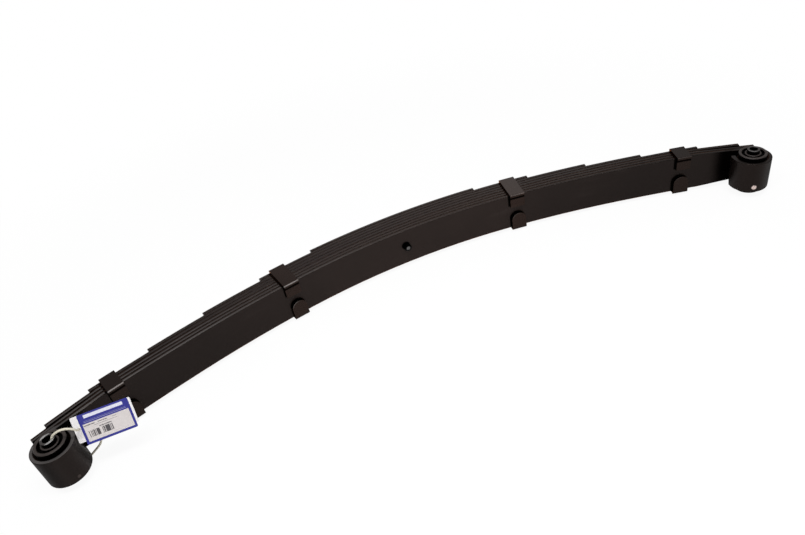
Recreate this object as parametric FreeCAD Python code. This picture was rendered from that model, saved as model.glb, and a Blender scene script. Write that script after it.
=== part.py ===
import FreeCAD, Part
import math
import os
from FreeCAD import Vector

# Semi-elliptic leaf spring, millimetres.
# Frame: the origin is on the centre bolt's axis, on the main leaf's concave
# face, at mid-width. +X runs along the chord, +Y to the convex side (towards
# the short leaves) and +Z across the leaves' width, so the spring lies on its side.

# ---- driving dimensions ------------------------------------------------------
LEAF_WIDTH = 63.5
LEAF_THICK = 7.0
LEAF_GAP = 0.12            # paint and running gap between neighbouring leaves
LEAF_EDGE_R = 1.0          # rolled edge rounding

# Free camber of the main leaf's concave face: tangent arcs, flatter outwards.
ARC_RADII = (1063.0, 1629.0, 2849.0)
ARC_ENDS = (180.0, 380.0)  # stations where the first and second arcs end

# Stations are arc lengths from the centre bolt along the concave face.
EYE_STATION = 593.0
LEAF_HALF_LENGTHS = {2: 609.6, 3: 587.2, 4: 520.5, 5: 427.4, 6: 334.9, 7: 235.8, 8: 143.6}

EYE_INNER_R = 22.24
EYE_WIDTH = 52.4           # the rolled end is trimmed narrower than the leaf
EYE_WRAP_DEG = 220.0       # how far the end is rolled tight round the bush
EYE_TAIL_DEG = 62.0        # the last part of the roll, which springs open
EYE_TAIL_OPEN = 4.5        # how much larger the tail's radius is
EYE_EDGE_R = 1.0
TRIM_START = 510.0         # the three long leaves narrow evenly from here
TRIM_TO_EYE = 3.0          # the main leaf is down to the eye's width this far from its axis
TRIM_TIP_WIDTHS = {2: 49.8, 3: 54.6}
TAIL_CORNER = (7.0, 22.0)  # the tail's lower corner is cropped: along the leaf, across it

# Bonded eye bush
SLEEVE_WALL = 1.5
SLEEVE_PRESS_GAP = 0.04
RUBBER_GAP = 0.06          # running gap of the inner tube in the rubber
TUBE_BORE_R = 6.45
TUBE_WALL = 3.05
TUBE_LENGTH = 78.0
SLEEVE_RECESS = 3.0        # the sleeve and the rubber's shoulder lie this deep in the eye
COLLAR_OUTER_R = 21.3
COLLAR_WIDTH = 4.2
COLLAR_LENGTH = 66.0       # over the two raised collars
LIP_OUTER_R = 12.4
LIP_LENGTH = 65.0
GROOVE_LENGTH = 56.0       # over the groove floors between collar and lip

# Clips: strap riveted to the back leaf, arms folded round onto the main leaf
CLIP_STRAP = 3.2
CLIP_WIDTHS = {"outer": 23.4, "inner": 25.0}
CLIP_FIT = 0.1
CLIP_BEND_R = 2.6
CLIP_STATIONS = {"outer": (-491.0, 488.2), "inner": (-204.0, 200.9)}   # left, right
TONGUE_SHIFTS = {"outer": (3.5, -2.4), "inner": (1.2, 0.0)}            # bent a little askew
CLIP_BACK_LEAF = {"outer": 4, "inner": 7}
TAB_END_Z = 9.8            # the upper fold's end
TAB_LIP = 2.2              # the upper fold's bend bulges this far past the tab
TAB_LIP_DEPTH = 4.2
TONGUE_WIDTH = 25.0
TONGUE_TOP_Z = -2.5
TONGUE_STANDOFF = 2.2      # the lower fold springs clear of the face

RIVET_R = 3.0
RIVET_HEAD_R = 6.4
RIVET_HEAD_H = 3.6
RIVET_FIT = 0.08

# Centre bolt and nut
BOLT_R = 4.75
BOLT_FIT = 0.12
BOLT_HEAD_R = 6.35
BOLT_HEAD_H = 5.5
BOLT_HEAD_EDGE_R = 1.6
NUT_ACROSS_FLATS = 16.0
NUT_HEIGHT = 8.2
NUT_FIT = 0.08
BOLT_TAIL = 3.5            # thread standing out of the nut

# Hang tag at the left eye
CARD_SIZE = (76.6, 36.8, 0.6)
CARD_SHIFT = (-2.8, 2.6)   # card centre from the label's centre, in the tag's plane
LABEL_SIZE = (65.0, 42.7, 0.3)
TAG_CORNER_R = 1.5
TAG_CENTRE = Vector(-494.9, -149.5, 26.9)
TAG_TURN_DEG = 1.35
TAG_LEAN_DEG = -25.05
TAG_ROLL_DEG = 3.0
TAG_HOLE_FROM_CENTRE = (-34.9, 3.65)
TAG_HOLE_R = 1.7
STRING_R = 1.5
# The string leaves the left tube's bore, arches to the tag's hole, passes
# behind the tag and comes back under the eye to the tube's lower end.
STRING_POINTS = [
    Vector(-561.5, -152.1, 40.2), Vector(-553.0, -154.8, 47.3), Vector(-541.0, -159.0, 51.8),
    Vector(-531.5, -159.0, 45.5), Vector(-529.2, -154.8, 35.0), Vector(-529.9, -134.8, 25.7),
    Vector(-513.0, -137.0, -10.0), Vector(-541.5, -131.5, -34.0), Vector(-559.4, -144.7, -36.2)]


# ---- the leaf line -----------------------------------------------------------
def leaf_pitch():
    return LEAF_THICK + LEAF_GAP


def inner_offset(leaf):
    """Distance from the main leaf's concave face to this leaf's concave face."""
    return (leaf - 1) * leaf_pitch()


def outer_offset(leaf):
    return inner_offset(leaf) + LEAF_THICK


def arc_breaks():
    return [-ARC_ENDS[1], -ARC_ENDS[0], ARC_ENDS[0], ARC_ENDS[1]]


def line_at(station):
    """Point and heading of the concave face's line at a station."""
    side = -1.0 if station < 0 else 1.0
    left = abs(station)
    x = y = heading = 0.0
    start = 0.0
    for radius, end in zip(ARC_RADII, list(ARC_ENDS) + [float("inf")]):
        run = min(left, end) - start
        turned = heading + run / radius
        x += radius * (math.sin(turned) - math.sin(heading))
        y += radius * (math.cos(turned) - math.cos(heading))
        heading = turned
        if left <= end:
            break
        start = end
    return side * x, y, side * heading


def at(station, offset, z=0.0):
    """Point at a station, offset from the concave face towards the convex side."""
    x, y, heading = line_at(station)
    return Vector(x + offset * math.sin(heading), y + offset * math.cos(heading), z)


def along(station):
    """Unit vector along the leaf."""
    heading = line_at(station)[2]
    return Vector(math.cos(heading), -math.sin(heading), 0)


def outward(station):
    """Unit vector from the concave face to the convex side."""
    heading = line_at(station)[2]
    return Vector(math.sin(heading), math.cos(heading), 0)


def line_edges(offset, start, end):
    """Arc edges of the leaf line at an offset, from one station to another."""
    lo, hi = min(start, end), max(start, end)
    stops = [lo] + [b for b in arc_breaks() if lo < b < hi] + [hi]
    if start > end:
        stops.reverse()
    return [Part.Arc(at(a, offset), at((a + b) / 2, offset), at(b, offset)).toShape()
            for a, b in zip(stops, stops[1:])]


def band(start, end, low, high, z_low, z_high):
    """A block that follows the leaf line between two stations and two offsets."""
    edges = (line_edges(low, start, end)
             + [Part.makeLine(at(end, low), at(end, high))]
             + line_edges(high, end, start)
             + [Part.makeLine(at(start, high), at(start, low))])
    face = Part.Face(Part.Wire(edges))
    face.translate(Vector(0, 0, z_low))
    return face.extrude(Vector(0, 0, z_high - z_low))


def placed_on_leaf(shape, station, offset, z=0.0):
    """Put a shape made with its axis along +Z so that the axis points outward."""
    turn = FreeCAD.Rotation(Vector(0, 0, 1), outward(station))
    shape.Placement = FreeCAD.Placement(at(station, offset, z), turn)
    return shape


def hole_through(station, radius, low, high):
    return placed_on_leaf(Part.makeCylinder(radius, high - low), station, low)


# ---- leaves ------------------------------------------------------------------
def trim_wedges(end, end_width):
    """Cutters that narrow a long leaf to end_width at station end, above and below."""
    wedges = []
    full, trimmed = LEAF_WIDTH / 2, end_width / 2
    length, reach, spare = end - TRIM_START, 60.0, 8.0
    depth = 3 * leaf_pitch() + 2 * spare
    for side in (-1, 1):
        origin = at(side * TRIM_START, -spare)
        ahead = along(side * TRIM_START) * side
        deep = outward(side * TRIM_START)
        for up in (-1, 1):
            def corner(distance, z):
                return origin + ahead * distance + Vector(0, 0, up * z)
            outline = [corner(0, full), corner(length, trimmed), corner(length + reach, trimmed),
                       corner(length + reach, full + spare), corner(0, full + spare)]
            wire = Part.makePolygon(outline + [outline[0]])
            wedges.append(Part.Face(wire).extrude(deep * depth))
    return wedges


def round_side_edges(shape, radius):
    """Round the long edges where a leaf's broad faces meet its narrow ones."""
    picked = []
    for edge in shape.Edges:
        if edge.Length < 2.5 * LEAF_THICK:
            continue
        faces = shape.ancestorsOfType(edge, Part.Face)
        tilts = [abs(face.normalAt(*face.Surface.parameter(edge.CenterOfMass)).z) for face in faces]
        if len(tilts) == 2 and max(tilts) > 0.5 and min(tilts) < 0.1:
            picked.append(edge)
    return shape.makeFillet(radius, picked)


def graduated_leaf(number):
    half = LEAF_HALF_LENGTHS[number]
    leaf = band(-half, half, inner_offset(number), outer_offset(number), -LEAF_WIDTH / 2, LEAF_WIDTH / 2)
    leaf = round_side_edges(leaf, LEAF_EDGE_R)
    cutters = trim_wedges(half, TRIM_TIP_WIDTHS[number]) if number in TRIM_TIP_WIDTHS else []
    cutters.append(hole_through(0, BOLT_R + BOLT_FIT, inner_offset(number) - 1, outer_offset(number) + 1))
    for place, back_leaf in CLIP_BACK_LEAF.items():
        if back_leaf == number:
            for station in CLIP_STATIONS[place]:
                cutters.append(hole_through(station, RIVET_R + RIVET_FIT,
                                            inner_offset(number) - 1, outer_offset(number) + 1))
    return leaf.cut(cutters)


def eye_axis(side):
    """Point on the eye's axis."""
    return at(side * EYE_STATION, -EYE_INNER_R)


def rolled_eye(side):
    """The curl: tight round the bush from the tangent point, then an open tail."""
    back = outward(side * EYE_STATION)
    ahead = along(side * EYE_STATION) * side

    def ray(degrees):
        turn = math.radians(degrees)
        return back * math.cos(turn) + ahead * math.sin(turn)

    inner, outer, wrap = EYE_INNER_R, EYE_INNER_R + LEAF_THICK, EYE_WRAP_DEG
    centre = eye_axis(side)
    tail = centre - ray(wrap) * EYE_TAIL_OPEN
    tail_end = wrap + EYE_TAIL_DEG

    def arc(middle, radius, start, end):
        return Part.Arc(middle + ray(start) * radius, middle + ray((start + end) / 2) * radius,
                        middle + ray(end) * radius).toShape()

    tail_in, tail_out = inner + EYE_TAIL_OPEN, outer + EYE_TAIL_OPEN
    profile = Part.Wire([
        arc(centre, inner, 0, wrap), arc(tail, tail_in, wrap, tail_end),
        Part.makeLine(tail + ray(tail_end) * tail_in, tail + ray(tail_end) * tail_out),
        arc(tail, tail_out, tail_end, wrap), arc(centre, outer, wrap, 0),
        Part.makeLine(centre + ray(0) * outer, centre + ray(0) * inner)])
    face = Part.Face(profile)
    face.translate(Vector(0, 0, -EYE_WIDTH / 2))
    curl = round_side_edges(face.extrude(Vector(0, 0, EYE_WIDTH)), EYE_EDGE_R)
    return curl.cut(tail_crop(tail + ray(tail_end) * (tail_in - EYE_TAIL_OPEN), ray(tail_end),
                              ray(tail_end - 90)))


def tail_crop(tip, out, back):
    """A cutter for the tail's lower corner, as a prism along the roll's radius."""
    low, (length, width) = -EYE_WIDTH / 2, TAIL_CORNER
    spare = 4.0
    lean = length / width

    def corner(behind, z):
        return tip + back * behind + Vector(0, 0, z)

    outline = [corner(length + spare * lean, low - spare), corner(-spare, low - spare),
               corner(-spare, low + width + spare / lean)]
    wire = Part.makePolygon(outline + [outline[0]])
    return Part.Face(wire).extrude(out * (LEAF_THICK + 2 * EYE_TAIL_OPEN))


def main_leaf():
    strip = band(-EYE_STATION, EYE_STATION, 0, LEAF_THICK, -LEAF_WIDTH / 2, LEAF_WIDTH / 2)
    strip = round_side_edges(strip, LEAF_EDGE_R)
    strip = strip.cut(trim_wedges(EYE_STATION - TRIM_TO_EYE, EYE_WIDTH) + [hole_through(0, BOLT_R + BOLT_FIT, -1, LEAF_THICK + 1)])
    return strip.fuse([rolled_eye(-1), rolled_eye(1)])


# ---- eye bushes --------------------------------------------------------------
def ring(inner, outer, length):
    body = Part.makeCylinder(outer, length, Vector(0, 0, -length / 2))
    return body.cut(Part.makeCylinder(inner, length + 2, Vector(0, 0, -length / 2 - 1)))


def bush_sleeve():
    outer = EYE_INNER_R - SLEEVE_PRESS_GAP
    return ring(outer - SLEEVE_WALL, outer, EYE_WIDTH - 2 * SLEEVE_RECESS)


def bush_rubber():
    """Rubber with a raised outer collar and an inner lip at each end."""
    bore = TUBE_BORE_R + TUBE_WALL + RUBBER_GAP
    outer = EYE_INNER_R - SLEEVE_PRESS_GAP - SLEEVE_WALL
    collar_in = COLLAR_OUTER_R - COLLAR_WIDTH
    shoulder = EYE_WIDTH / 2 - SLEEVE_RECESS
    half = [(outer, shoulder), (COLLAR_OUTER_R, shoulder),
            (COLLAR_OUTER_R, COLLAR_LENGTH / 2 - 1.0), (COLLAR_OUTER_R - 1.0, COLLAR_LENGTH / 2),
            (collar_in + 0.8, COLLAR_LENGTH / 2), (collar_in, COLLAR_LENGTH / 2 - 0.8),
            (collar_in, GROOVE_LENGTH / 2), (LIP_OUTER_R, GROOVE_LENGTH / 2),
            (LIP_OUTER_R, LIP_LENGTH / 2 - 0.8), (LIP_OUTER_R - 0.8, LIP_LENGTH / 2),
            (bore + 0.8, LIP_LENGTH / 2), (bore, LIP_LENGTH / 2 - 0.8)]
    outline = half + [(r, -z) for r, z in reversed(half)]
    points = [Vector(r, 0, z) for r, z in outline]
    return Part.Face(Part.makePolygon(points + [points[0]])).revolve(Vector(), Vector(0, 0, 1), 360)


def bush_tube():
    return ring(TUBE_BORE_R, TUBE_BORE_R + TUBE_WALL, TUBE_LENGTH)


def at_eye(shape, side):
    shape.translate(eye_axis(side))
    return shape


# ---- clips and rivets --------------------------------------------------------
def clip(place, station, tongue_shift):
    width, tongue_station = CLIP_WIDTHS[place], station + tongue_shift
    first, last = station - width / 2, station + width / 2
    back = outer_offset(CLIP_BACK_LEAF[place]) + CLIP_FIT
    seat = LEAF_WIDTH / 2 + CLIP_FIT
    reach = seat + CLIP_STRAP
    tongue_back = -TONGUE_STANDOFF
    plate = band(first, last, back, back + CLIP_STRAP, -reach, reach)
    top_arm = band(first, last, -CLIP_FIT - CLIP_STRAP, back + CLIP_STRAP, seat, reach)
    tab = band(first, last, -CLIP_FIT - CLIP_STRAP, -CLIP_FIT, TAB_END_Z, reach)
    lip = band(first, last, -CLIP_FIT - CLIP_STRAP - TAB_LIP, -CLIP_FIT, reach - TAB_LIP_DEPTH, reach)
    low_arm = band(first + tongue_shift, last + tongue_shift, tongue_back - CLIP_STRAP,
                   back + CLIP_STRAP, -reach, -seat)
    tongue = band(tongue_station - TONGUE_WIDTH / 2, tongue_station + TONGUE_WIDTH / 2,
                  tongue_back - CLIP_STRAP, tongue_back, -reach, TONGUE_TOP_Z)
    round_r = TONGUE_WIDTH / 2
    shaft = Part.makeBox(TONGUE_WIDTH + 2, 40, 20, Vector(-round_r - 1, -40, -10))
    end = Part.makeCylinder(round_r, 20, Vector(0, 0, -10))
    outline = placed_outline(shaft.fuse(end), tongue_station, TONGUE_TOP_Z - round_r)
    tongue = tongue.common(outline)
    body = plate.fuse([top_arm, tab, lip, low_arm, tongue]).removeSplitter().Solids[0]
    corners = [(station, -CLIP_FIT - CLIP_STRAP - TAB_LIP, reach), (station, back + CLIP_STRAP, reach),
               (tongue_station, tongue_back - CLIP_STRAP, -reach)]
    bends = []
    for edge in body.Edges:
        if edge.Length < width * 0.9:
            continue
        middle = edge.CenterOfMass
        for place_on, offset, z in corners:
            if (middle - at(place_on, offset, z)).Length < 0.5:
                bends.append(edge)
    body = body.makeFillet(CLIP_BEND_R, bends)
    return body.cut(hole_through(station, RIVET_R + RIVET_FIT, back - 1, back + CLIP_STRAP + 1))


def placed_outline(shape, station, z):
    """Stand an outline drawn in X-Y on the leaf's face: X along the leaf, Y up."""
    ahead, up, back = along(station), Vector(0, 0, 1), outward(station)
    matrix = FreeCAD.Matrix(ahead.x, up.x, -back.x, 0, ahead.y, up.y, -back.y, 0, ahead.z, up.z, -back.z, 0, 0, 0, 0, 1)
    placement = FreeCAD.Placement(matrix)
    placement.Base = at(station, 0, z)
    shape.Placement = placement
    return shape


def rivet(place, station):
    leaf = CLIP_BACK_LEAF[place]
    low = inner_offset(leaf) + 0.1
    seat = outer_offset(leaf) + CLIP_FIT + CLIP_STRAP + 0.05
    shank = Part.makeCylinder(RIVET_R, seat - low + 0.5)
    dome_r = (RIVET_HEAD_R ** 2 + RIVET_HEAD_H ** 2) / (2 * RIVET_HEAD_H)
    dome = Part.makeSphere(dome_r, Vector(0, 0, seat - low + RIVET_HEAD_H - dome_r))
    keep = Part.makeCylinder(RIVET_HEAD_R + 1, RIVET_HEAD_H + 1, Vector(0, 0, seat - low))
    return placed_on_leaf(shank.fuse(dome.common(keep)).removeSplitter(), station, low)


# ---- centre bolt and nut -----------------------------------------------------
def nut_seat():
    return outer_offset(max(LEAF_HALF_LENGTHS)) + 0.05


def centre_bolt():
    head = Part.makeCylinder(BOLT_HEAD_R, BOLT_HEAD_H)
    head = head.makeFillet(BOLT_HEAD_EDGE_R, [e for e in head.Edges if e.BoundBox.ZMax < 0.01 and e.Closed])
    length = BOLT_HEAD_H + nut_seat() + NUT_HEIGHT + BOLT_TAIL
    shank = Part.makeCylinder(BOLT_R, length)
    shank = shank.makeChamfer(1.0, [e for e in shank.Edges if e.BoundBox.ZMin > length - 0.01 and e.Closed])
    return placed_on_leaf(head.fuse(shank).removeSplitter(), 0, -BOLT_HEAD_H - 0.02)


def centre_nut():
    corner_r = NUT_ACROSS_FLATS / 2 / math.cos(math.radians(30))
    points = [Vector(corner_r * math.cos(math.radians(60 * i)), corner_r * math.sin(math.radians(60 * i)), 0)
              for i in range(7)]
    body = Part.Face(Part.makePolygon(points)).extrude(Vector(0, 0, NUT_HEIGHT))
    chamfer = Part.makeCone(corner_r + NUT_HEIGHT - 1.0, corner_r - 1.0, NUT_HEIGHT)
    body = body.common(chamfer)
    body = body.cut(Part.makeCylinder(BOLT_R + NUT_FIT, NUT_HEIGHT + 2, Vector(0, 0, -1)))
    return placed_on_leaf(body, 0, nut_seat())


# ---- hang tag ----------------------------------------------------------------
def tag_rotation():
    turn = FreeCAD.Rotation(Vector(0, 0, 1), TAG_TURN_DEG)
    lean = FreeCAD.Rotation(Vector(1, 0, 0), TAG_LEAN_DEG)
    roll = FreeCAD.Rotation(Vector(0, 1, 0), TAG_ROLL_DEG)
    return turn.multiply(lean).multiply(roll)


def on_tag(x, y, depth):
    """World point: x and y in the tag's plane from its centre, depth behind the label."""
    return TAG_CENTRE + tag_rotation().multVec(Vector(x, depth, y))


def sheet(size, shift, depth):
    width, height, thick = size
    body = Part.makeBox(width, thick, height, Vector(shift[0] - width / 2, depth, shift[1] - height / 2))
    corners = [e for e in body.Edges if abs(e.tangentAt(e.FirstParameter).y) > 0.9]
    return body.makeFillet(TAG_CORNER_R, corners)


def place_tag(shape):
    shape.Placement = FreeCAD.Placement(TAG_CENTRE, tag_rotation())
    return shape


def tag_label():
    return place_tag(sheet(LABEL_SIZE, (0, 0), 0))


def tag_card():
    card = sheet(CARD_SIZE, CARD_SHIFT, LABEL_SIZE[2] + 0.02)
    hole = Part.makeCylinder(TAG_HOLE_R, 10, Vector(TAG_HOLE_FROM_CENTRE[0], -5, TAG_HOLE_FROM_CENTRE[1]), Vector(0, 1, 0))
    return place_tag(card.cut(hole))


def cord(points, radius):
    """A round cord along straight runs joined by tangent arcs."""
    edges, start, radii = [], points[0], []
    for before, corner, after in zip(points, points[1:], points[2:]):
        back, ahead = (before - corner), (after - corner)
        short = min(back.Length, ahead.Length)
        half_turn = (math.pi - back.getAngle(ahead)) / 2
        bend = 0.45 * short / math.tan(half_turn)
        radii.append(round(bend, 1))
        enter = corner + back.normalize() * (0.45 * short)
        leave = corner + ahead.normalize() * (0.45 * short)
        towards = (back + ahead).normalize()
        middle = corner + towards * (bend / math.cos(half_turn) - bend)
        edges += [Part.LineSegment(start, enter).toShape(), Part.Arc(enter, middle, leave).toShape()]
        start = leave
    edges.append(Part.LineSegment(start, points[-1]).toShape())
    print("cord bend radii", radii)
    path = Part.Wire(edges)
    end = Part.Wire(Part.Circle(points[0], points[1] - points[0], radius).toShape())
    return path.makePipeShell([end], True, False)


# ---- everything --------------------------------------------------------------
def build():
    nodes = {"main_leaf": main_leaf()}
    for number in LEAF_HALF_LENGTHS:
        nodes["leaf_%d" % number] = graduated_leaf(number)
    for name, side in (("left", -1), ("right", 1)):
        nodes["bush_sleeve_" + name] = at_eye(bush_sleeve(), side)
        nodes["bush_rubber_" + name] = at_eye(bush_rubber(), side)
        nodes["bush_tube_" + name] = at_eye(bush_tube(), side)
        for place, stations in CLIP_STATIONS.items():
            end = 0 if side < 0 else 1
            station = stations[end]
            nodes["clip_%s_%s" % (place, name)] = clip(place, station, TONGUE_SHIFTS[place][end])
            nodes["rivet_%s_%s" % (place, name)] = rivet(place, station)
    nodes["centre_bolt"] = centre_bolt()
    nodes["centre_nut"] = centre_nut()
    nodes["tag_card"] = tag_card()
    nodes["tag_label"] = tag_label()
    nodes["tag_string"] = cord(STRING_POINTS, STRING_R)
    return nodes


os.makedirs("parts", exist_ok=True)
for node, made in build().items():
    shape = made.Solids[0]
    if len(made.Solids) != 1 or not shape.isValid():
        raise ValueError(node + " is not one valid solid")
    shape.exportStep("parts/" + node + ".step")
    print(node, round(shape.Volume / 1000, 2), "cm3")
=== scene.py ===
# %% [markdown]
# # A multi-leaf spring on a white table
# A leaf spring carries one end of a vehicle's axle. Eight flat steel leaves
# are nested like spoons, four folded clips keep them in line, and the longest
# leaf is rolled into an eye at each end for a rubber bush. The steel pieces
# come from the CAD model, which already has the right sizes. This lesson
# dresses them: paint, rubber, bare steel, a paper tag and its string.

# %% Load the frame
import math
from functools import reduce

import bpy
import numpy as np
from mathutils import Matrix, Vector


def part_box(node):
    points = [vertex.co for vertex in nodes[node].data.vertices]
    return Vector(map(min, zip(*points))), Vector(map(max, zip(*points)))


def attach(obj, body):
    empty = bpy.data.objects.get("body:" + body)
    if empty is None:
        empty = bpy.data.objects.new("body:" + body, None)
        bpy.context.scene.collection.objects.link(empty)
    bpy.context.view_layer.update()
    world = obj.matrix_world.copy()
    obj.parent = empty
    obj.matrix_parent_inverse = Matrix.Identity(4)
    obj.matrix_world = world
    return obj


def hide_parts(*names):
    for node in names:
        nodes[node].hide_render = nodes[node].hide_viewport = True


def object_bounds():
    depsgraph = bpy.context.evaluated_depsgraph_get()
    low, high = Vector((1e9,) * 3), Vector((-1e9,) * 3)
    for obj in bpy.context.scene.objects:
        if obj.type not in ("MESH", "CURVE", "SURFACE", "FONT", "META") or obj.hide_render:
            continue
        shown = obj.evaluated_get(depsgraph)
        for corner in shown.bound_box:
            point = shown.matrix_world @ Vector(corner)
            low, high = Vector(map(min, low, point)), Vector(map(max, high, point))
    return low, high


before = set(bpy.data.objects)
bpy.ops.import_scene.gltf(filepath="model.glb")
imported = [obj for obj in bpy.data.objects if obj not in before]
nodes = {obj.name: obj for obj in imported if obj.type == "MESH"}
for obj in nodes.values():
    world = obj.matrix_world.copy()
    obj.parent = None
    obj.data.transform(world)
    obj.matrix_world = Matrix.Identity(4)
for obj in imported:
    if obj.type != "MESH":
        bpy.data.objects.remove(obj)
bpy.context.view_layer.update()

# %% [markdown]
# ## Camera
# The spring lies on its side, so its long narrow edges face up. The camera
# stands on the concave side, a little to the left and well above, and is
# rolled so that the spring climbs from lower left to upper right. A rolled
# camera is easiest to state as three unit vectors: right, up and backwards.

# %% Place the camera
EYE_POINT = Vector((-0.2618, -0.8672, 0.6534))
FORWARD = Vector((0.21193, 0.76355, -0.60998)).normalized()
RIGHT = Vector((0.90677, -0.38643, -0.16867)).normalized()
UP = RIGHT.cross(FORWARD).normalized()

camera_data = bpy.data.cameras.new("camera")
camera_data.lens = 30.05
camera_data.sensor_width = 36.0
camera_data.shift_x, camera_data.shift_y = 0.0035, 0.0026
camera_data.clip_start = 0.01
camera = bpy.data.objects.new("camera", camera_data)
camera.matrix_world = Matrix((
    (RIGHT.x, UP.x, -FORWARD.x, EYE_POINT.x),
    (RIGHT.y, UP.y, -FORWARD.y, EYE_POINT.y),
    (RIGHT.z, UP.z, -FORWARD.z, EYE_POINT.z),
    (0, 0, 0, 1)))
bpy.context.scene.collection.objects.link(camera)
bpy.context.scene.camera = camera
bpy.context.scene.view_settings.view_transform = "Standard"
print("camera at", [round(v, 3) for v in camera.location])

# %% [markdown]
# ## Light
# Black paint shows its form by what it mirrors. A long panel overhead, a
# little in front of the spring, is mirrored by every rounded arris as a fine
# bright line. A panel at the back right is mirrored by what faces up: the
# leaf edges and the tops of the clips. A weak one in front lifts the bushes.
# The leaves' faces only mirror the white table.

# %% Hang the lamps
def soft_panel(name, place, target, size, watts):
    """An area lamp at place that faces target."""
    data = bpy.data.lights.new(name, "AREA")
    data.shape = "RECTANGLE"
    data.size, data.size_y = size
    data.energy = watts
    lamp = bpy.data.objects.new(name, data)
    lamp.location = place
    towards = Vector(target) - Vector(place)
    lamp.rotation_euler = towards.to_track_quat("-Z", "Y").to_euler()
    bpy.context.scene.collection.objects.link(lamp)


soft_panel("arris_panel", (-0.15, -0.55, 1.5), (-0.1, -0.05, 0), (1.6, 0.3), 24)
soft_panel("rim_panel", (0.75, 1.35, 1.1), (0.1, 0, 0), (1.3, 0.8), 3.4)
soft_panel("front_panel", (0.9, -1.7, 0.8), (0, -0.1, 0), (0.7, 0.7), 1.6)

# %% [markdown]
# ## Shader maths as Python
# A mask is arithmetic on numbers that change over a surface. Wrapping a
# socket in a small class lets that arithmetic be written as an ordinary
# expression, and each operator adds the Math node that does it.

# %% A class for sockets
class Signal:
    """One output socket; arithmetic on it adds Math nodes."""

    def __init__(self, graph, socket):
        self.graph, self.socket = graph, socket

    def math(self, operation, first, second=0.0):
        """One Math node."""
        return self.graph.node("ShaderNodeMath", {"operation": operation},
                               {0: first, 1: second})

    def __add__(self, other):
        return self.math("ADD", self, other)

    def __radd__(self, other):
        return self.math("ADD", other, self)

    def __sub__(self, other):
        return self.math("SUBTRACT", self, other)

    def __rsub__(self, other):
        return self.math("SUBTRACT", other, self)

    def __mul__(self, other):
        return self.math("MULTIPLY", self, other)

    def __rmul__(self, other):
        return self.math("MULTIPLY", other, self)

    def __truediv__(self, other):
        return self.math("DIVIDE", self, other)

    def __rtruediv__(self, other):
        return self.math("DIVIDE", other, self)

    def __neg__(self):
        return 0.0 - self

    def __abs__(self):
        return self.math("ABSOLUTE", self)

    def floor(self):
        return self.math("FLOOR", self)

    def root(self):
        return self.math("SQRT", self)

    def either(self, other):
        """The larger of two masks."""
        return self.math("MAXIMUM", self, other)

    def ramp(self, low, high, to_low=0.0, to_high=1.0):
        """Smoothly from to_low to to_high while the signal goes from low to high."""
        return self.graph.node("ShaderNodeMapRange", {"interpolation_type": "SMOOTHSTEP"},
                               {"Value": self, "From Min": low, "From Max": high,
                                "To Min": to_low, "To Max": to_high})

    def band(self, start, full, still_full, end):
        """Rises from 0 to 1 from start to full, and falls from still_full to end."""
        return self.ramp(start, full) * (1 - self.ramp(still_full, end))


def any_of(masks):
    """The largest of several masks."""
    return reduce(Signal.either, masks)


def distance(*parts):
    """Square root of the sum of the squares."""
    return sum([part * part for part in parts[1:]], parts[0] * parts[0]).root()


print("a signal can:", [name for name in vars(Signal) if not name.startswith("_")])

# %% [markdown]
# A graph is a material's node tree. One method adds any node: its settings
# come first, then the values or links of its sockets. Patterns read Object
# coordinates, which are metres in the spring's own frame, because every piece
# sits at the origin.

# %% A class for node trees
# A dull black, mixed in as painted shade
DULL_BLACK = (0.0040, 0.0028, 0.0025, 1)


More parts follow.
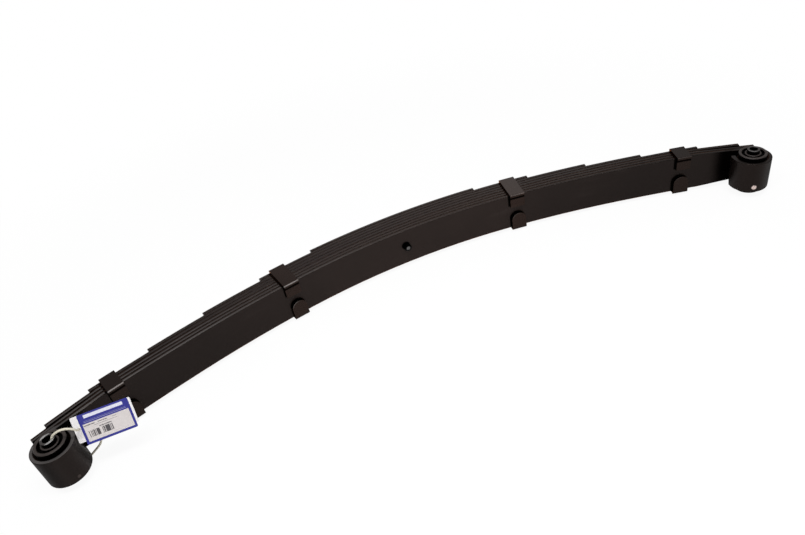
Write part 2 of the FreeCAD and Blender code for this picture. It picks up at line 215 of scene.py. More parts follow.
class Graph:
    """The node tree of a material or of the world."""

    def __init__(self, tree):
        self.tree = tree
        tree.nodes.clear()

    def node(self, kind, settings=None, inputs=None, out=0):
        """Add a node, set it up, fill its sockets and return one output."""
        made = self.tree.nodes.new(kind)
        for key, value in (settings or {}).items():
            setattr(made, key, value)
        for key, value in (inputs or {}).items():
            if isinstance(value, Signal):
                self.tree.links.new(value.socket, made.inputs[key])
            else:
                made.inputs[key].default_value = value
        return Signal(self, made.outputs[out]) if made.outputs else None

    def place(self):
        """Object coordinates, in metres in the spring's own frame."""
        return self.node("ShaderNodeTexCoord", out="Object")

    def axes(self, vector=None):
        """A vector's three parts; the place's, if no vector is given."""
        split = self.node("ShaderNodeSeparateXYZ", None, {0: vector or self.place()})
        return [Signal(self, part) for part in split.socket.node.outputs]

    def facing(self):
        """The surface's own direction, as x, y and z parts."""
        return self.axes(self.node("ShaderNodeTexCoord", out="Normal"))

    def noise(self, scale, detail=2.0, stretch=(1, 1, 1), shift=(0, 0, 0)):
        """Fractal noise, 0 to 1; stretch squeezes the pattern along an axis."""
        where = self.node("ShaderNodeMapping", None,
                          {"Vector": self.place(), "Scale": stretch, "Location": shift})
        return self.node("ShaderNodeTexNoise", None,
                         {"Vector": where, "Scale": scale, "Detail": detail})

    def mix(self, mask, low, high):
        """The colour low where mask is 0 and high where it is 1."""
        return self.node("ShaderNodeMix", {"data_type": "RGBA"},
                         {0: mask, 6: low, 7: high}, out=2)

    def bump(self, height, strength, distance):
        """A direction that tilts with a height; distance is in metres."""
        return self.node("ShaderNodeBump", None,
                         {"Height": height, "Strength": strength, "Distance": distance})

    def near(self, point, radius, soft=0.4):
        """1 within radius of a point, fading out over soft times that radius."""
        gap = self.node("ShaderNodeVectorMath", {"operation": "DISTANCE"},
                        {0: self.place(), 1: point}, out="Value")
        return 1 - gap.ramp(radius * (1 - soft), radius)

    def finish(self, color, roughness, metallic=0.0, normal=None, matt=None, **fixed):
        """The surface shader; fixed values are set on its own sockets.

        Where matt is 1 the surface is mixed with a dull black, painted shade that
        takes away its sheen, even seen edge on."""
        inputs = {"Base Color": color, "Roughness": roughness, "Metallic": metallic}
        if normal:
            inputs["Normal"] = normal
        inputs.update({key.replace("_", " "): value for key, value in fixed.items()})
        shader = self.node("ShaderNodeBsdfPrincipled", None, inputs)
        if matt:
            dull_shade = self.node("ShaderNodeBsdfDiffuse", None, {"Color": DULL_BLACK})
            shader = self.node("ShaderNodeMixShader", None, {0: matt, 1: shader, 2: dull_shade})
        self.node("ShaderNodeOutputMaterial", None, {"Surface": shader})


print("a graph can:", [name for name in vars(Graph) if not name.startswith("_")])

# %% [markdown]
# A CAD node comes with a plain material. Its slots are emptied before it gets
# its own, so that every face takes the new one.

# %% Making and giving a material
def new_material(name):
    """An empty material and its graph."""
    material = bpy.data.materials.new(name)
    material.use_nodes = True
    return material, Graph(material.node_tree)


def dress(material, *names):
    """Give CAD nodes or pieces a material."""
    for name in names:
        piece = nodes.get(name) or bpy.data.objects[name]
        piece.data.materials.clear()
        piece.data.materials.append(material)
    print(material.name, "on", len(names))


print("materials of the CAD nodes:", len({node.data.materials[0].name for node in nodes.values()
                                          if node.data.materials}))

# %% [markdown]
# ## Studio white
# The camera sees plain white behind the spring. Everything else gets a dimmer
# world, so the white surround doesn't flood the black paint with light.

# %% Light the world
DIM = 0.45

world = bpy.data.worlds.new("studio")
bpy.context.scene.world = world
world.use_nodes = True
sky = Graph(world.node_tree)
seen = sky.node("ShaderNodeLightPath", out="Is Camera Ray")
surround = sky.node("ShaderNodeBackground", None,
                    {"Color": (1, 1, 1, 1), "Strength": seen * (1 - DIM) + DIM})
sky.node("ShaderNodeOutputWorld", None, {"Surface": surround})
print("world: 1 to the camera,", DIM, "to the rest")

# %% [markdown]
# ## The leaf pack, by the numbers
# Paint behaves differently in the seam between two leaves, on a rolled edge
# and in the open, so the materials have to know where in the pack a point
# lies. The inner face of the main leaf is three arcs that share their
# tangents, like a road that straightens out. The distance behind it, counted
# in leaves, says which leaf a point belongs to and how far across it is.

# %% Arcs of the inner face
HALF_WIDTH = 0.03175                   # of a leaf, up and down from the middle
PITCH, THICK = 0.00712, 0.0070         # from leaf to leaf, and of one leaf
GAP = PITCH - THICK
ARCS = ((1.063, 0.180), (1.629, 0.380), (2.849, 0.620))   # radius, and station of its end
ARC_BLEND = 0.001                      # over which one arc takes over from the last
EYE_X, EYE_Y = 0.56724, -0.15057


def arc_places():
    """Centre X, centre Y, radius and first X of each arc.

    Two arcs share a tangent where they meet, so the next centre lies on the
    line from the last centre to that point."""
    places, centre, angle, begun, start = [], np.array([0.0, -ARCS[0][0]]), 0.0, 0.0, 0.0
    for (radius, end), following in zip(ARCS, ARCS[1:] + (ARCS[-1],)):
        places.append((float(centre[0]), float(centre[1]), radius, start))
        angle += (end - begun) / radius
        ray = np.array([math.sin(angle), math.cos(angle)])
        begun, start = end, float(centre[0] + radius * ray[0])
        centre = centre + (radius - following[0]) * ray
    return places


ARC_PLACES = arc_places()
print("arcs start at X", [round(place[3], 4) for place in ARC_PLACES])

# %% [markdown]
# The distance is needed twice: as a signal, to drive the paint, and on an
# array of points, to measure the clips. On the rolled eyes it means nothing,
# so there the distance from the eye's axis takes over.

# %% Depth in the pack
def depth_in_pack(g):
    """Distance behind the inner face: to an arc's centre, less its radius."""
    x, y, z = g.axes()
    reach, depth = abs(x), None
    for centre_x, centre_y, radius, start in ARC_PLACES:
        here = distance(reach - centre_x, y - centre_y) - radius
        if depth is None:
            depth = here
        else:
            depth = depth + reach.ramp(start, start + ARC_BLEND) * (here - depth)
    return depth


def depth_of(points):
    """The same distance for an array of points."""
    x, y, depth = np.abs(points[:, 0]), points[:, 1], 0.0
    for centre_x, centre_y, radius, start in ARC_PLACES:
        depth = np.where(x >= start, np.hypot(x - centre_x, y - centre_y) - radius, depth)
    return depth


def eye_radius(g):
    """Distance from the nearer eye's axis."""
    x, y, z = g.axes()
    return distance(abs(x) - EYE_X, y - EYE_Y)


def leaf_profile(g):
    """-1 at a leaf's front face and 1 at its back, from its place in the pack."""
    layers = (depth_in_pack(g) + GAP / 2) / PITCH
    return ((layers - layers.floor()) * (PITCH / THICK) - 0.5) * 2


def main_profile(g):
    """As leaf_profile, but 0 on the rolled eye, which has no neighbour."""
    return leaf_profile(g) * eye_radius(g).ramp(0.031, 0.034)


print("depth at the origin:", float(depth_of(np.zeros((1, 3)))[0]))

# %% [markdown]
# ## Where the clips stand
# Each clip is a strap round the pack. Its upper end folds over the leaves and
# ends as a square tab on the face, and its lower end is a round tongue. Light
# can't reach the paint close beside them, so their places are measured on the
# CAD meshes, and the materials paint shade there.

# %% Measure the clips
TONGUE_R, TONGUE_Z = 0.0125, -0.0150   # the tongue's round end and its centre
CLIP_NAMES = [name for name in nodes if name.startswith("clip_")]


def clip_points(name):
    """The points of a clip's mesh, one in each row."""
    points = np.empty(len(nodes[name].data.vertices) * 3)
    nodes[name].data.vertices.foreach_get("co", points)
    return points.reshape(-1, 3)


def front_reach(name, low, high):
    """Range of X of what stands proud of the face between two heights."""
    points = clip_points(name)
    band = points[(points[:, 2] > low) & (points[:, 2] < high)]
    band = band[depth_of(band) < -0.0015]
    return float(band[:, 0].min()), float(band[:, 0].max())


def tongue_place(name):
    """The tongue's middle X, and its width as seen along Y over its own."""
    left, right = front_reach(name, -0.036, -0.004)
    return (left + right) / 2, (right - left) / (2 * TONGUE_R)


def strap_side(name):
    """The leaf's direction at a clip, the strap's left side along it, and its X.

    The strap's top is long across the pack and short along the leaf, so the
    leaf's direction is the axis along which its points spread least."""
    top = clip_points(name)
    top = top[top[:, 2] > 0.033][:, :2]
    along = np.linalg.eigh(np.cov(top.T))[1][:, 0]
    along = along * np.sign(along[0])
    return float(along[0]), float(along[1]), float((top @ along).min()), float(top[:, 0].mean())


TONGUES = [tongue_place(name) for name in CLIP_NAMES]
TAB_EDGES = [front_reach(name, 0.0090, 0.0200)[0] for name in CLIP_NAMES]
STRAP_SIDES = [strap_side(name) for name in CLIP_NAMES]
print("tongues at", [round(place[0], 4) for place in TONGUES],
      "tabs from", [round(edge, 4) for edge in TAB_EDGES])

# %% [markdown]
# ## Painted shade in deep gaps
# The gap between an eye and its bush, the corner behind an eye and the narrow
# lee of a clip get painted shade: dead black. Darkening the colour isn't enough,
# because satin paint would still mirror the table there. A metal with almost no
# colour mirrors nothing, so these masks drive Metallic and the colour at once.

# %% Painted shade in the lee of the clips
def facing_front(g):
    """1 where the surface looks at the concave side."""
    return 1 - g.facing()[1].ramp(-0.85, -0.6)


def beside_clips(g):
    """Painted shade on the strip of the leaf edges in the lee of each clip's strap."""
    x, y, z = g.axes()
    strips = []
    for along_x, along_y, side, middle in STRAP_SIDES:
        ahead = side - (x * along_x + y * along_y)
        strip = ahead.band(-0.001, 0, 0.0022, 0.0036)
        strips.append(strip * (1 - abs(x - middle).ramp(0.03, 0.04)))
    return any_of(strips) * z.ramp(0.0300, 0.0308)


print("lee of the straps at X", [round(place[3], 3) for place in STRAP_SIDES])

# %% [markdown]
# On the face of the main leaf, painted shade lies above and to the left of each
# tongue and of the bolt's head, and along the left edge of each tab. Each is
# a distance from the shape that casts it.

# %% Painted shade on the face
def round_tongues(g):
    """The face above and to the left of each tongue's round end."""
    x, y, z = g.axes()
    rings = []
    for middle, width in TONGUES:
        across, up = (x - middle + 0.0014) / width, (z + 0.0128).either(0.0)
        rings.append(1 - distance(across, up).ramp(0.0118, 0.0132))
    return any_of(rings)


def beside_tabs(g):
    """The face along the left edge of each clip's tab."""
    x, y, z = g.axes()
    strips = [x.band(edge - 0.0032, edge - 0.0020, edge + 0.0020, edge + 0.0030)
              for edge in TAB_EDGES]
    return any_of(strips) * z.band(0.0098, 0.0130, 0.0312, 0.0318)


def beside_bolt(g):
    """The face above and to the left of the bolt's head."""
    x, y, z = g.axes()
    return 1 - distance(x + 0.0022, z - 0.0036).ramp(0.0058, 0.0084)


print("gaps round", len(TONGUES), "tongues,", len(TAB_EDGES), "tabs and the bolt")

# %% [markdown]
# The main leaf adds painted shade inside its eyes and in the corner where each
# roll comes back to the leaf. The outside of a roll turns away from the table,
# so there painted shade mixes its paint with a plain dull black.

# %% Painted shade of the main leaf
def main_leaf_painted_shade(g):
    """Painted shade: every deep gap of the main leaf."""
    x, y, z = g.axes()
    inside_eye = 1 - eye_radius(g).ramp(0.0240, 0.0252)
    corner = (1 - abs(depth_in_pack(g)).ramp(0.0006, 0.0012)) * abs(x).ramp(0.517, 0.542)
    on_face = any_of([round_tongues(g), beside_tabs(g), beside_bolt(g)]) * facing_front(g)
    return any_of([inside_eye, corner, beside_clips(g), on_face])


def painted_shade_of_rolls(g):
    """Painted shade on the outward side of the eyes' outer rounds, which then mirror little;
    the leaf's ends also mirror less than its middle.
    """
    x, y, z = g.axes()
    outward = (x * g.facing()[0] * (1 / EYE_X)).ramp(-0.15, 0.45, 0.22, 0.72)
    rolls = outward * eye_radius(g).ramp(0.0278, 0.0286) * abs(x).ramp(0.53, 0.55)
    return rolls.either(abs(x).ramp(0.06, 0.45) * 0.16)


print("eyes at X", -EYE_X, EYE_X)

# %% [markdown]
# The clips get painted shade of their own: on their cut sides, in a band in the
# shade of the upper fold, and on the tongue's rim. Their upper front bends and a
# thin arc on each tongue get a painted highlight, strongest on the left clips.

# %% Painted shade and highlights of the clips
def clip_painted_shade(g):
    """Painted shade on the cut sides, in the band under the upper fold and on the tongue's rim.
    """
    x, y, z = g.axes()
    _, ny, nz = g.facing()
    front = facing_front(g)
    sides = (1 - abs(nz).ramp(0.4, 0.7)) * (1 - front) * (1 - ny.ramp(0.6, 0.85))
    under_fold = front * z.band(0.0250, 0.0262, 0.0304, 0.0312)
    rim = nz.ramp(0.15, 0.4) * (1 - z.ramp(-0.002, 0.002))
    return any_of([sides, under_fold, rim])


def tongue_arrises(g):
    """A thin arc just inside each tongue's round edge, at its upper left, where a highlight is
    painted.
    """
    x, y, z = g.axes()
    arcs = []
    for middle, width in TONGUES:
        across, up = (x - middle) / width, z - TONGUE_Z
        arc = distance(across, up).band(0.0106, 0.0114, 0.020, 0.022)
        arcs.append(arc * (1 - across.ramp(-0.004, 0.006)) * up.ramp(0.002, 0.007))
    low_front = (1 - g.facing()[1].ramp(-0.9, -0.7)) * (1 - z.ramp(0, 0.002))
    return any_of(arcs) * low_front


def painted_bend_highlight(g):
    """Painted highlight: 1 on the clip's upper front bend, which faces both forwards and up,
    and a third of that on each tongue's arc; it fades from left to right.
    """
    x, y, z = g.axes()
    _, ny, nz = g.facing()
    both = nz.ramp(0.25, 0.55) * (1 - ny.ramp(-0.55, -0.2)) * (1 - (-ny).ramp(0.86, 0.95))
    bend = both * z.ramp(0.030, 0.032) * g.noise(120, 2).ramp(0.3, 0.6, 0.7, 1.0)
    return bend.either(tongue_arrises(g) * 0.35) * x.ramp(-0.45, 0.45, 0.60, 0.08)


print("clips:", CLIP_NAMES)

# %% [markdown]
# ## Spring enamel
# Leaves are dipped in thin black chassis paint. It is satin with a trace of
# brown and gathers dust. Its rolled edges get a painted highlight, and a thin
# painted brown rim light lies where the leaves rest on their lower edge. Leaf
# width runs along Z, so the height of a point says how near it is to an edge.

# %% The paint's colours
# Painted shade: a dead black for gaps, which mirrors nothing
PAINTED_SHADE_BLACK = (0.0012, 0.0010, 0.0010, 1)
DEEP_BLACK = (0.0008, 0.0006, 0.0006, 1)
DUST = (0.040, 0.032, 0.029, 1)
# Painted rim light: a thin brown line along the lower edge
RIM_LIGHT_BROWN = (0.16, 0.06, 0.028, 1)
# Painted highlight: a light grey for edges and bends
PAINTED_HIGHLIGHT_GREY = (0.30, 0.285, 0.28, 1)
PRIMER = (0.80, 0.64, 0.59, 1)


def tinted(color, factor):
    """A colour made lighter or darker, with its alpha added."""
    return (*[part * factor for part in color], 1)


def dipped_black(g, base, cloud, streak, rim_light):
    """The paint's colour, where it is dusty, and where a painted brown rim light
    lies along the lower edge.

    The colour runs a little lighter and darker at random, and blacker towards the ends."""
    x, y, z = g.axes()
    tone = g.mix(cloud.ramp(0.3, 0.75), tinted(base, 0.82), tinted(base, 1.2))
    tone = g.mix(abs(x).ramp(0.06, 0.42) * 0.70, tone, DEEP_BLACK)
    dusty = cloud.ramp(0.5, 0.8) * streak.ramp(0.45, 0.8) * 0.25
    tone = g.mix(dusty, tone, DUST)
    # Painted rim light along the lower edge, in patches
    lower_rim_light = (-z).ramp(HALF_WIDTH - 0.0016, HALF_WIDTH - 0.0009) * rim_light
    return g.mix(lower_rim_light * streak.ramp(0.3, 0.6, 0.5, 1.0), tone, RIM_LIGHT_BROWN), dusty, lower_rim_light


# How much lighter the painted highlight's grey is than dust
print("rubbed paint is", round(PAINTED_HIGHLIGHT_GREY[1] / DUST[1]), "times as light as dust")

# %% [markdown]
# The leaves' edges are rolled, not square, so each one mirrors the overhead
# panel as a line, and the seam between two leaves is a dark groove. A bump
# that falls off towards both faces of a leaf rounds the edge, and the groove
# takes painted dead black shade. Each upper edge also gets a painted light grey
# highlight, strongest at the left end: about ten times as strong as at the right.

# %% Rolled edges and seams
def rolled_edge(g, profile, streak, glint, lip, front_lip):
    """How far the edge falls away, how much highlight is painted on it, and the
    mask of the seam's painted shade.

    It falls with the square of the profile. Past lip it is lost in the seam
    behind the leaf, and with front_lip also in the one before it."""
    x, y, z = g.axes()
    level = abs(g.facing()[2])
    upward = level.ramp(0.5, 0.95)
    across = profile(g)
    left, far_left = 1 - x.ramp(-0.30, 0.15), 1 - x.ramp(-0.48, -0.20)
    shine = upward * z.ramp(0, 0.001) * streak.ramp(0.2, 0.7, 0.75, 1.15)
    shine = shine * (left * 0.82 + 0.18) * (far_left * 0.9 + 1) * glint
    lips = (across * (far_left * 0.9 + 1)).ramp(lip, lip + 0.22)
    if front_lip:
        lips = lips + (-across * (far_left * 0.2 + 1)).ramp(0.80, 0.96)
    return upward * across * across, shine, lips * level.ramp(0.05, 0.25)


print("a seam every", round(PITCH * 1000, 2), "mm, in a gap of", round(GAP * 1000, 2), "mm")

# %% [markdown]
# The enamel puts these together. The longer a leaf is, the more highlight is
# painted on its edge, so three mixes differ only in their glint and in how wide
# the seams look. A chip of primer shows on each eye, large and small.

# %% Mix the enamel
def spring_enamel(name, base, sheen_roughness, painted_shade, profile=None, glint=0.0, lip=0.5,
                  front_lip=True, painted_highlight=None, rim_light=1.0, chips=(), dull_shade=None, **fixed):
    """Satin paint.

    The shade mask of a graph is 1 where a gap swallows all light and gets painted
    dead black shade, profile(graph) is -1 to 1 across a leaf's thickness, and the
    highlight mask is 1 where a highlight is painted."""
    material, g = new_material(name)
    cloud, grain, streak = g.noise(9, 4), g.noise(380, 3), g.noise(60, 3, (0.12, 1, 1.6))
    tone, dusty, lower_rim_light = dipped_black(g, base, cloud, streak, rim_light)
    rough = sheen_roughness + (grain - 0.5) * 0.08 + dusty * 0.4 + lower_rim_light * 0.5
    height, dead = grain * 0.06 + g.noise(70, 3) * 0.12, painted_shade(g)
    if profile:
        fall, shine, seam = rolled_edge(g, profile, streak, glint, lip, front_lip)
        height, dead = height - fall * 1.1, seam.either(dead)
        tone = g.mix(shine, tone, PAINTED_HIGHLIGHT_GREY)
    if painted_highlight:
        tone = g.mix(painted_highlight(g), tone, PAINTED_HIGHLIGHT_GREY)
    tone = g.mix(dead, tone, PAINTED_SHADE_BLACK)
    for spot, size, strength in chips:
        chip = g.near(spot, size, 0.35) * g.noise(420, 3).ramp(0.30, 0.44) * strength
        tone, rough = g.mix(chip, tone, PRIMER), rough + chip * 0.3
    g.finish(tone, rough, metallic=dead, normal=g.bump(height, 1.0, 0.001),
             matt=dull_shade(g) if dull_shade else None, **fixed)
    return material


print("enamel ready")

# %% [markdown]
# ## Paint on the steel
# The clips are folded from thinner strip and took the paint a little browner.
# The sleeves in the eyes share the main leaf's paint, and the nut and the
# rivets share the clips'.

# %% Paint the steel
LEAF_BLACK = (0.0086, 0.0052, 0.0044)
CLIP_BLACK = (0.0110, 0.0056, 0.0042)
CHIPS = (((0.5532, -0.1760, -0.0171), 0.0046, 1.0),
         ((-0.5529, -0.1760, -0.0191), 0.0028, 0.06))   # place, radius and strength
SATIN = {"Specular_IOR_Level": 0.20, "Specular_Tint": (1.0, 0.78, 0.70, 1)}
WARM_SATIN = {"Specular_IOR_Level": 0.20, "Specular_Tint": (1.0, 0.68, 0.56, 1)}

dress(spring_enamel("pack_enamel", LEAF_BLACK, 0.32, beside_clips, leaf_profile,
                    glint=0.02, lip=0.40, **SATIN),
      *["leaf_%d" % number for number in range(4, 9)])
dress(spring_enamel("near_enamel", LEAF_BLACK, 0.32, beside_clips, leaf_profile,
                    glint=0.06, lip=0.15, **SATIN), "leaf_2", "leaf_3")
dress(spring_enamel("main_enamel", LEAF_BLACK, 0.32, main_leaf_painted_shade, main_profile, glint=0.11,
                    lip=0.12, front_lip=False, chips=CHIPS, dull_shade=painted_shade_of_rolls, **SATIN),
      "main_leaf", "bush_sleeve_left", "bush_sleeve_right")
dress(spring_enamel("clip_enamel", CLIP_BLACK, 0.28, clip_painted_shade, painted_highlight=painted_bend_highlight, rim_light=0.0,
                    **WARM_SATIN),
      "centre_nut", *[name for name in nodes if name.startswith(("clip_", "rivet_"))])

# %% [markdown]
# ## Bush rubber
# The rubber is dull and almost black. Only the collars that stand proud of
# the eye catch light, with a faint bloom. Further in it lies in the gap
# between eye and tube, and gets the same painted dead black shade as the other gaps.

# %% Mix the rubber
# Painted shade for gaps that light doesn't reach
PAINTED_GAP_SHADE = (0.0010, 0.0009, 0.0009, 1)
COLLAR = (0.024, 0.018, 0.016, 1)
BLOOM = (0.042, 0.033, 0.030, 1)


def bush_rubber():
    """Bloomed collars past the leaf's edges, and painted dead black shade in the gap between
    them.
    """
    material, g = new_material("bush_rubber")
    x, y, z = g.axes()
    bloom = g.noise(70, 4).ramp(0.35, 0.75)
    proud = abs(z).ramp(0.0314, 0.0322)
    tone = g.mix(proud, PAINTED_GAP_SHADE, COLLAR)
    tone = g.mix(bloom * proud * 0.5, tone, BLOOM)
    skin = g.bump(g.noise(600, 2), 0.12, 0.0003)
    g.finish(tone, 0.5 + bloom * 0.12, metallic=1 - proud, normal=skin, Specular_IOR_Level=0.3)
    return material


dress(bush_rubber(), "bush_rubber_left", "bush_rubber_right")

# %% [markdown]
# ## Bare steel
# The bush tubes and the bolt were painted with the rest. Where an end face
# stands proud the paint is rubbed off, so steel shows in crescents and spots,
# with fine scratches from brushing. The rest of a tube is deep in its bush.

# %% Mix the rubbed steel
BRUSHED_DARK, BRUSHED_LIGHT = (0.42, 0.41, 0.40, 1), (0.66, 0.65, 0.64, 1)
THIN_PAINT = (0.022, 0.018, 0.017, 1)


def rubbed_steel(name, shine, lit):
    """Steel that shows through black paint where shine(graph) is 1.

    lit(graph) is 1 where light gets in; the rest gets painted shade, a dead black gap."""
    material, g = new_material(name)
    open_to_light = lit(g)
    bare = shine(g) * open_to_light
    brushed = g.noise(900, 2, (1, 1, 0.2))
    steel = g.mix(brushed, BRUSHED_DARK, BRUSHED_LIGHT)
    tone = g.mix(bare, g.mix(open_to_light, PAINTED_GAP_SHADE, THIN_PAINT), steel)
    rough = 0.5 - bare * 0.18 + (brushed - 0.5) * 0.1
    g.finish(tone, rough, metallic=(bare * 0.85).either(1 - open_to_light),
             normal=g.bump(brushed, 0.12, 0.0003))
    return material


print("steel from", BRUSHED_DARK[0], "to", BRUSHED_LIGHT[0])

# %% [markdown]
# Each tube's end is bright in two opposite crescents. A crescent is where the
# distance along one direction through the tube's middle is large. The left
# end was rubbed hard, the right one hardly.

# %% Dress the tubes
TUBE_RADIUS = 0.0095
CRESCENTS = (("left", math.radians(120), 1.0), ("right", math.radians(35), 0.12))


def tube_end_crescents(center, turn, brightness):
    """Bright in two opposite crescents; turn is the direction through them."""
    def shine(g):
        x, y, z = g.axes()
        across = (x - center[0]) * math.cos(turn) + (y - center[1]) * math.sin(turn)
        patchy = g.noise(300, 3).ramp(0.35, 0.6, 0.35, 1.0)
        return abs(across / TUBE_RADIUS).ramp(0.55, 0.8) * patchy * brightness
    return shine


def tube_end(g):
    """1 on the flat ends of a bush tube."""
    return abs(g.axes()[2]).ramp(0.0384, 0.0388)


for side, turn, brightness in CRESCENTS:
    middle = [sum(pair) / 2 for pair in zip(*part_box("bush_tube_" + side))]
    crescents = tube_end_crescents(middle, turn, brightness)
    dress(rubbed_steel("tube_steel_" + side, crescents, tube_end), "bush_tube_" + side)

# %% [markdown]
# The bolt runs along Y, so its head's middle is a disc round that axis. Light
# reaches that disc and the far end of the thread; the rest is in the dark.

# %% Dress the bolt
def bolt_end_disc(g):
    """1 on the middle of the head's front."""
    x, y, z = g.axes()
    return (1 - distance(x, z).ramp(0.0026, 0.0040)) * (1 - y.ramp(-0.0040, -0.0034))


def bolt_spot(g):
    """The disc, with only a tenth of the steel showing."""
    return bolt_end_disc(g) * 0.10


def bolt_open(g):
    """Where the bolt catches light: its head's middle and its far end."""
    return bolt_end_disc(g).either(g.axes()[1].ramp(0.03, 0.04))


dress(rubbed_steel("bolt_steel", bolt_spot, bolt_open), "centre_bolt")

# %% [markdown]
# ## Surfaces from two parameters
# A paper tag could be a cube made flat, but then the hole and the rounded
# corners would need cutting. A grid is simpler: rings that run from the hole
# out to the outline, worked out in one array expression. A second grid behind
# it and two walls close it, so that it exports as a solid.

# %% Grid to mesh
def mesh_piece(name, points, faces, uvs=None):
    """A flat-shaded mesh; uvs has one row for each point."""
    data = bpy.data.meshes.new(name)
    data.from_pydata(points.tolist(), [], faces.tolist())
    if uvs is not None:
        layer = data.uv_layers.new(name="sheet")
        corner = np.empty(len(data.loops), dtype=np.int64)
        data.loops.foreach_get("vertex_index", corner)
        layer.data.foreach_set("uv", uvs[corner].ravel())
    data.polygons.foreach_set("use_smooth", np.zeros(len(data.polygons), dtype=bool))
    data.update()
    piece = bpy.data.objects.new(name, data)
    bpy.context.scene.collection.objects.link(piece)
    print(name, "points", len(points), "faces", len(faces))
    return piece


def ring_faces(rings, around, first=0, flip=False):
    """Quads between neighbouring closed rings of a (rings, around) grid."""
    i, j = np.meshgrid(np.arange(rings - 1), np.arange(around), indexing="ij")
    k, here, after = (j + 1) % around, i * around, (i + 1) * around
    quads = np.stack([here + j, here + k, after + k, after + j], -1).reshape(-1, 4) + first
    return quads[:, ::-1] if flip else quads


def wall_faces(first, behind, around, flip=False):
    """Quads from the ring that begins at first to the one behind it."""
    j = np.arange(around)
    k = (j + 1) % around
    quads = np.stack([j, j + behind, k + behind, k], -1) + first
    return quads[:, ::-1] if flip else quads


print("quads between 2 rings of 4:", len(ring_faces(2, 4)))

# %% [markdown]
# ## The tag's place
# The tag hangs in front of the left eye and leans back a little. Its own axes
# are the label's right, its depth away from the reader, and its up.

# %% Tag frame
TAG_CENTRE = np.array([-0.4949, -0.1495, 0.0269])
TAG_AXES = np.array(Matrix.Rotation(math.radians(1.35), 3, "Z")
                    @ Matrix.Rotation(math.radians(-25.05), 3, "X")
                    @ Matrix.Rotation(math.radians(3), 3, "Y"))


def on_tag(x, depth, y):
    """World points from arrays in the tag's frame, in millimetres."""
    local = np.stack(np.broadcast_arrays(x, depth, y), -1) * 0.001
    return TAG_CENTRE + local @ TAG_AXES.T


print("the label faces", [round(float(part), 2) for part in -TAG_AXES[:, 1]])

# %% [markdown]
# ## Card and label
# A white card carries a larger printed label, stuck on a little to its right,
# so that a strip with the string's hole stays free. Both are thin solids with
# rounded corners.

# %% Cut the card and the label
CORNER = 1.5                            # millimetres, as all sizes of the tag
CARD, CARD_MIDDLE, CARD_DEPTH = (76.6, 36.8, 0.6), (-2.8, 2.6), 0.32
HOLE = (-34.9, 3.65, 1.7)               # its middle and its radius
LABEL = (65, 42.7, 0.3)
AROUND, RINGS = 192, 14
PINHOLE = 0.02                          # in the middle of a sheet without a hole


def rounded_outline(width, height, radius):
    """A rounded rectangle as points by even angle about its centre.

    A ray at each angle is stretched until it meets the straight sides. Where it
    reaches past a box smaller by the radius, that part is cut to the radius."""
    a = np.linspace(0, 2 * math.pi, AROUND, endpoint=False)
    half = np.array([width / 2, height / 2])
    ray = np.stack([np.cos(a), np.sin(a)], -1)
    hit = ray * np.min(half / np.maximum(np.abs(ray), 1e-9), axis=1)[:, None]
    inner = np.clip(hit, -(half - radius), half - radius)
    out = hit - inner
    length = np.maximum(np.linalg.norm(out, axis=1), 1e-9)[:, None]
    return inner + out / length * np.minimum(length, radius)


def sheet_solid(name, size, centre, depth, hole=None):
    """A thin card: rings from a hole, or its middle, out to a rounded outline.

    The front is inner ring * (1 - t) + outline * t with t from 0 to 1, and
    the back is the same surface moved back by the thickness."""
    width, height, thick = size
    outline = rounded_outline(width, height, CORNER) + np.array(centre)
    turn = np.linspace(0, 2 * math.pi, AROUND, endpoint=False)
    circle = np.stack([np.cos(turn), np.sin(turn)], -1)
    middle, radius = (hole[:2], hole[2]) if hole else (centre, PINHOLE)
    inner = np.array(middle) + radius * circle
    t = np.linspace(0, 1, RINGS)[:, None, None]
    x, y = np.moveaxis(inner * (1 - t) + outline * t, -1, 0)
    front = on_tag(x, depth, y).reshape(-1, 3)
    back = on_tag(x, depth + thick, y).reshape(-1, 3)
    behind = len(front)
    faces = np.concatenate([
        ring_faces(RINGS, AROUND), ring_faces(RINGS, AROUND, behind, flip=True),
        wall_faces(behind - AROUND, behind, AROUND, flip=True), wall_faces(0, behind, AROUND)])
    uvs = np.stack([(x - centre[0]) / width + 0.5, (y - centre[1]) / height + 0.5], -1)
    return mesh_piece(name, np.concatenate([front, back]), faces,
                      np.tile(uvs.reshape(-1, 2), (2, 1)))


card = sheet_solid("hang_card", CARD, CARD_MIDDLE, CARD_DEPTH, hole=HOLE)
label = sheet_solid("hang_label", LABEL, (0, 0), 0.0)
for piece, node in ((card, "tag_card"), (label, "tag_label")):
    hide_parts(node)
    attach(piece, "spring")

# %% [markdown]
# ## Board and print
# The card is uncoated white board with a faint fibre. The label is printed in
# one deep blue with a pale panel. What is on it stays generic: a plain white
# stripe in the blue, a block of plain bars, and grey rules that stand for
# lines of small print. Its own UV map holds the print to the sheet.

# %% Mix the board
def white_board():
    """White board whose tone and height follow one fine noise, the fibre."""
    material, g = new_material("white_board")
    fibre = g.noise(900, 3)
    tone = g.mix(fibre, (0.70, 0.68, 0.68, 1), (0.80, 0.78, 0.78, 1))
    g.finish(tone, 0.75, normal=g.bump(fibre, 0.15, 0.0002))
    return material


dress(white_board(), "hang_card")

# %% [markdown]
# Every part of the print is a rectangle: 1 inside and 0 outside, with a soft
# edge a tenth of a millimetre wide. The bars come from White Noise on the
# whole number of each column, so no list of widths is needed.

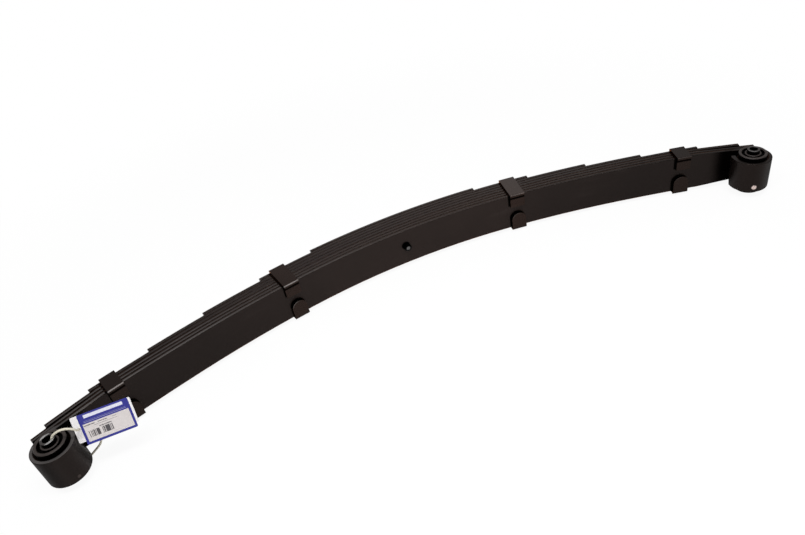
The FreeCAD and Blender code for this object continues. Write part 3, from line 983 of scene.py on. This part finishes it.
# %% Rectangles of ink
EDGE = 0.12                             # millimetres
PANEL = (-29.3, 29.5, -18, 7)           # left, right, bottom and top
CODE = (-26.8, 4.5, -13, -3.8)
RULES = ((-29, -15, 3.6, 5.0), (-11, 1, 3.8, 5.0), (6, 13, 4.2, 4.8),
         (-17, 13, 1.4, 1.9), (-11, 4.5, -2.6, -1.2))
PINSTRIPES = ((-27, 27, 8.8, 9.4), (-27, 27, 10.6, 10.9))
STRIPE, STRIPE_EDGE = (-25, 25, 14.6, 19.0), 0.3


def patch(x, y, rectangle, soft=EDGE):
    """1 inside a rectangle and 0 outside it."""
    left, right, low, high = rectangle
    return (x.band(left - soft, left + soft, right - soft, right + soft)
            * y.band(low - soft, low + soft, high - soft, high + soft))


def patches(x, y, rectangles):
    """Several rectangles that don't overlap, added up."""
    return reduce(Signal.__add__, [patch(x, y, rectangle) for rectangle in rectangles])


def column_noise(g, x, per_millimetre, seed):
    """One random value for each column of the label."""
    return g.node("ShaderNodeTexWhiteNoise", {"noise_dimensions": "1D"},
                  {"W": (x * per_millimetre).floor() + seed})


print("rules:", len(RULES), "pinstripes:", len(PINSTRIPES))

# %% [markdown]
# The inks are laid one over another as a printer would: blue, the white
# stripes, the panel's paper, and then bars and rules on that paper.

# %% Print the label
BLUE, WHITE_ON_BLUE = (0.028, 0.030, 0.225, 1), (0.72, 0.72, 0.80, 1)
PAPER_DARK, PAPER_LIGHT = (0.55, 0.51, 0.50, 1), (0.63, 0.59, 0.58, 1)
BAR_INK, RULE_INK = (0.05, 0.045, 0.05, 1), (0.09, 0.085, 0.09, 1)


def printed_label():
    """Blue print with a pale panel, bars and rules."""
    material, g = new_material("printed_label")
    u, v, _ = g.axes(g.node("ShaderNodeUVMap", {"uv_map": "sheet"}))
    x, y = (u - 0.5) * LABEL[0], (v - 0.5) * LABEL[1]
    columns = column_noise(g, x, 1.25, 11) * 0.8 + column_noise(g, x, 0.5, 3) * 0.35
    bars = patch(x, y, CODE) * columns.ramp(0.40, 0.46)
    speckle = g.noise(800, 2, shift=(3, 1, 2)).ramp(0.36, 0.46)
    white = patches(x, y, PINSTRIPES) * 0.35 + patch(x, y, STRIPE, STRIPE_EDGE) * 0.9
    tone = g.mix(white, BLUE, WHITE_ON_BLUE)
    tone = g.mix(patch(x, y, PANEL), tone, g.mix(g.noise(60, 3), PAPER_DARK, PAPER_LIGHT))
    tone = g.mix(bars * 0.95, tone, BAR_INK)
    tone = g.mix(patches(x, y, RULES) * speckle * 0.9, tone, RULE_INK)
    g.finish(tone, 0.42, Specular_IOR_Level=0.35)
    return material


dress(printed_label(), "hang_label")

# %% [markdown]
# ## Cotton
# The tag's string is cotton, matt and fuzzy. At this thickness its twist is
# only a fine unevenness, so one noise serves for both tone and surface.

# %% Mix the cotton
def cotton():
    """Cream cotton whose tone and height follow one fine noise."""
    material, g = new_material("cotton")
    twist = g.noise(500, 2)
    tone = g.mix(twist, (0.50, 0.46, 0.36, 1), (0.70, 0.66, 0.55, 1))
    g.finish(tone, 0.8, normal=g.bump(twist, 0.4, 0.0005))
    return material


string_cotton = cotton()
print("mixed", string_cotton.name)

# %% [markdown]
# ## The string
# A soft cream string ties the tag on. It leaves the left bush's bore, arches
# over the rim to the tag's hole, drops behind the tag and returns under the
# eye. A NURBS curve through these control points gives its smooth sag.

# %% Lay the string
STRING_ROUTE = [
    (-0.5638, -0.1515, 0.0325), (-0.5615, -0.1521, 0.0402), (-0.5530, -0.1548, 0.0473),
    (-0.5410, -0.1590, 0.0518), (-0.5315, -0.1590, 0.0455), (-0.5292, -0.1548, 0.0350),
    (-0.5299, -0.1348, 0.0257), (-0.5130, -0.1370, -0.0100), (-0.5415, -0.1315, -0.0340),
    (-0.5594, -0.1447, -0.0362)]

string_data = bpy.data.curves.new("tag_tie", "CURVE")
string_data.dimensions = "3D"
string_data.bevel_depth = 0.0015        # half the string's thickness
string_data.bevel_resolution = 4
string_data.resolution_u = 14
string_data.use_fill_caps = True
line = string_data.splines.new("NURBS")
line.points.add(len(STRING_ROUTE) - 1)
weights = np.ones(len(STRING_ROUTE))
line.points.foreach_set("co", np.c_[np.array(STRING_ROUTE), weights].ravel())
line.order_u = 3
line.use_endpoint_u = True
tie = bpy.data.objects.new("tag_tie", string_data)
bpy.context.scene.collection.objects.link(tie)
string_data.materials.append(string_cotton)
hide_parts("tag_string")
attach(tie, "spring")
print("string through", len(line.points), "points")

# %% [markdown]
# ## Floor
# The floor glows white to the camera, as a light table does. Near the spring
# a little of that gives way to plain white paint, which keeps a trace of the
# shadow.

# %% Lay the floor
SPAN, SHADOW_REACH, SHADOW_SHARE = 30.0, 1.1, 0.07
SQUARE = np.array([[-1, -1, 0], [1, -1, 0], [1, 1, 0], [-1, 1, 0]])

floor_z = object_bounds()[0][2]
floor = mesh_piece("floor", SQUARE * SPAN + np.array([0, 0, floor_z]), np.array([[0, 1, 2, 3]]))
floor_material, g = new_material("white_floor")
camera_sees = g.node("ShaderNodeLightPath", out="Is Camera Ray")
under = g.near((0, -0.05, floor_z), SHADOW_REACH, 0.5)
matt = g.node("ShaderNodeBsdfDiffuse", None, {"Color": (0.85, 0.85, 0.85, 1)})
glow = g.node("ShaderNodeEmission", None, {"Color": (1, 1, 1, 1), "Strength": 1.0})
both = g.node("ShaderNodeMixShader", None,
              {0: camera_sees * (1 - under * SHADOW_SHARE), 1: matt, 2: glow})
g.node("ShaderNodeOutputMaterial", None, {"Surface": both})
floor.data.materials.append(floor_material)
print("floor at Z", round(floor_z, 4))

# %% [markdown]
